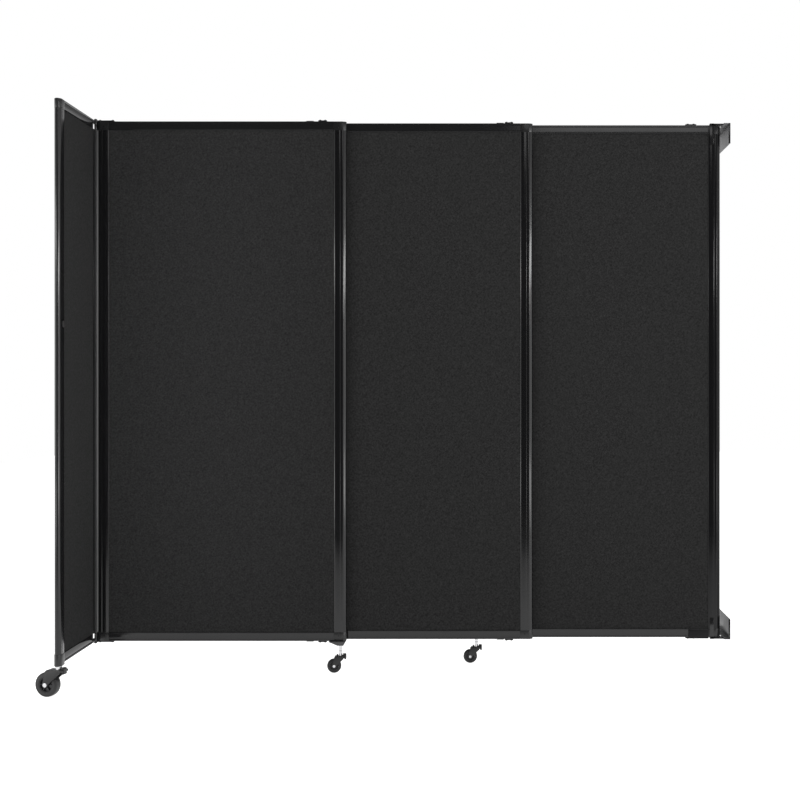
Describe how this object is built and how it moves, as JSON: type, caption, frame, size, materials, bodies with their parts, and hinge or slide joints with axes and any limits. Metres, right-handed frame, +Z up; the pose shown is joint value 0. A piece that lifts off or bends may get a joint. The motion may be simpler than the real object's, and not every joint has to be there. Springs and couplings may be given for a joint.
{
  "type": "wall-mounted sliding partition",
  "caption": "Wall-mounted room divider: fabric panels that slide past one another on rails, with a hinged end panel and braked casters.",
  "frame": {"origin": "centre of the lower wall plate, on the face that meets the wall", "axes": "+X into the wall, -Y towards the front of the partition, +Z up"},
  "size_m": [2.2, 0.6599, 1.8357],
  "materials": {
    "frame": "gloss black",
    "fabric": "black felt-like cloth",
    "black_plastic": "moulded, satin",
    "steel": "grey zinc",
    "chrome": "bright plated",
    "rubber": "smooth"
  },
  "bodies": {
    "wall_panel": {"panel_3_left_stile": "frame", "panel_3_right_stile": "frame", "panel_3_top_rail": "frame", "panel_3_bottom_rail": "frame", "panel_3_fabric_core": "fabric", "wall_bracket_top": "steel", "wall_bracket_bottom": "steel", "panel_3_top_guide": "black_plastic", "panel_3_bottom_guide": "black_plastic", "panel_3_top_stop": "black_plastic", "panel_3_bottom_stop": "black_plastic", "caster_3_outrigger": "steel", "caster_3_stem": "chrome"},
    "middle_panel": {"panel_2_left_stile": "frame", "panel_2_right_stile": "frame", "panel_2_top_rail": "frame", "panel_2_bottom_rail": "frame", "panel_2_fabric_core": "fabric", "panel_2_top_carriage": "black_plastic", "panel_2_bottom_carriage": "black_plastic", "panel_2_top_guide": "black_plastic", "panel_2_bottom_guide": "black_plastic"},
    "leading_panel": {"panel_1_left_stile": "frame", "panel_1_right_stile": "frame", "panel_1_top_rail": "frame", "panel_1_bottom_rail": "frame", "panel_1_fabric_core": "fabric", "panel_1_top_carriage": "black_plastic", "panel_1_bottom_carriage": "black_plastic", "hinge_bracket_top": "steel", "hinge_bracket_bottom": "steel", "hinge_pin_top": "steel", "hinge_pin_bottom": "steel", "caster_2_outrigger": "steel", "caster_2_stem": "chrome"},
    "end_panel": {"end_panel_left_stile": "frame", "end_panel_right_stile": "frame", "end_panel_top_rail": "frame", "end_panel_bottom_rail": "frame", "end_panel_fabric_core": "fabric", "hinge_arm_top": "steel", "hinge_arm_bottom": "steel", "hinge_seal": "rubber", "end_panel_catch": "black_plastic", "caster_1_stem": "chrome"},
    "caster_1_swivel": {"caster_1_fork": "black_plastic", "caster_1_axle": "chrome"},
    "caster_1_wheel": {"caster_1_hub": "black_plastic", "caster_1_tyre": "rubber"},
    "caster_1_brake": {"caster_1_brake_pedal": "black_plastic"},
    "caster_2_swivel": {"caster_2_fork": "black_plastic", "caster_2_axle": "chrome"},
    "caster_2_wheel": {"caster_2_hub": "black_plastic", "caster_2_tyre": "rubber"},
    "caster_2_brake": {"caster_2_brake_pedal": "black_plastic"},
    "caster_3_swivel": {"caster_3_fork": "black_plastic", "caster_3_axle": "chrome"},
    "caster_3_wheel": {"caster_3_hub": "black_plastic", "caster_3_tyre": "rubber"},
    "caster_3_brake": {"caster_3_brake_pedal": "black_plastic"}
  },
  "joints": [
    {"name": "middle_slide", "type": "slide", "parent": "wall_panel", "child": "middle_panel", "axis": [1, 0, 0], "range_m": [-0.003, 0.5815]},
    {"name": "front_slide", "type": "slide", "parent": "middle_panel", "child": "leading_panel", "axis": [1, 0, 0], "range_m": [-0.016, 0.5915]},
    {"name": "end_hinge", "type": "hinge", "parent": "leading_panel", "child": "end_panel", "pos_m": [-2.1162, -0.169, 0.8333], "axis": [0, 0, 1], "range_deg": [-90, 90]},
    {"name": "caster_1_swivel", "type": "hinge", "parent": "end_panel", "child": "caster_1_swivel", "pos_m": [-2.1262, -0.522, -0.0507], "axis": [0, 0, 1], "continuous": true},
    {"name": "caster_1_roll", "type": "hinge", "parent": "caster_1_swivel", "child": "caster_1_wheel", "pos_m": [-2.16194, -0.51242, -0.0947], "axis": [-0.2588, -0.9659, 0], "continuous": true},
    {"name": "caster_1_brake", "type": "hinge", "parent": "caster_1_swivel", "child": "caster_1_brake", "pos_m": [-2.10843, -0.52676, -0.0507], "axis": [-0.2588, -0.9659, 0], "range_deg": [-20, 0]},
    {"name": "caster_2_swivel", "type": "hinge", "parent": "leading_panel", "child": "caster_2_swivel", "pos_m": [-1.303, -0.171, -0.0797], "axis": [0, 0, 1], "continuous": true},
    {"name": "caster_2_roll", "type": "hinge", "parent": "caster_2_swivel", "child": "caster_2_wheel", "pos_m": [-1.32395, -0.17246, -0.1092], "axis": [0.0698, -0.9976, 0], "continuous": true},
    {"name": "caster_2_brake", "type": "hinge", "parent": "caster_2_swivel", "child": "caster_2_brake", "pos_m": [-1.28864, -0.17, -0.0797], "axis": [0.0698, -0.9976, 0], "range_deg": [-20, 0]},
    {"name": "caster_3_swivel", "type": "hinge", "parent": "wall_panel", "child": "caster_3_swivel", "pos_m": [-0.8543, -0.014, -0.0797], "axis": [0, 0, 1], "continuous": true},
    {"name": "caster_3_roll", "type": "hinge", "parent": "caster_3_swivel", "child": "caster_3_wheel", "pos_m": [-0.8753, -0.014, -0.1092], "axis": [0, -1, 0], "continuous": true},
    {"name": "caster_3_brake", "type": "hinge", "parent": "caster_3_swivel", "child": "caster_3_brake", "pos_m": [-0.8399, -0.014, -0.0797], "axis": [0, -1, 0], "range_deg": [-20, 0]}
  ]
}
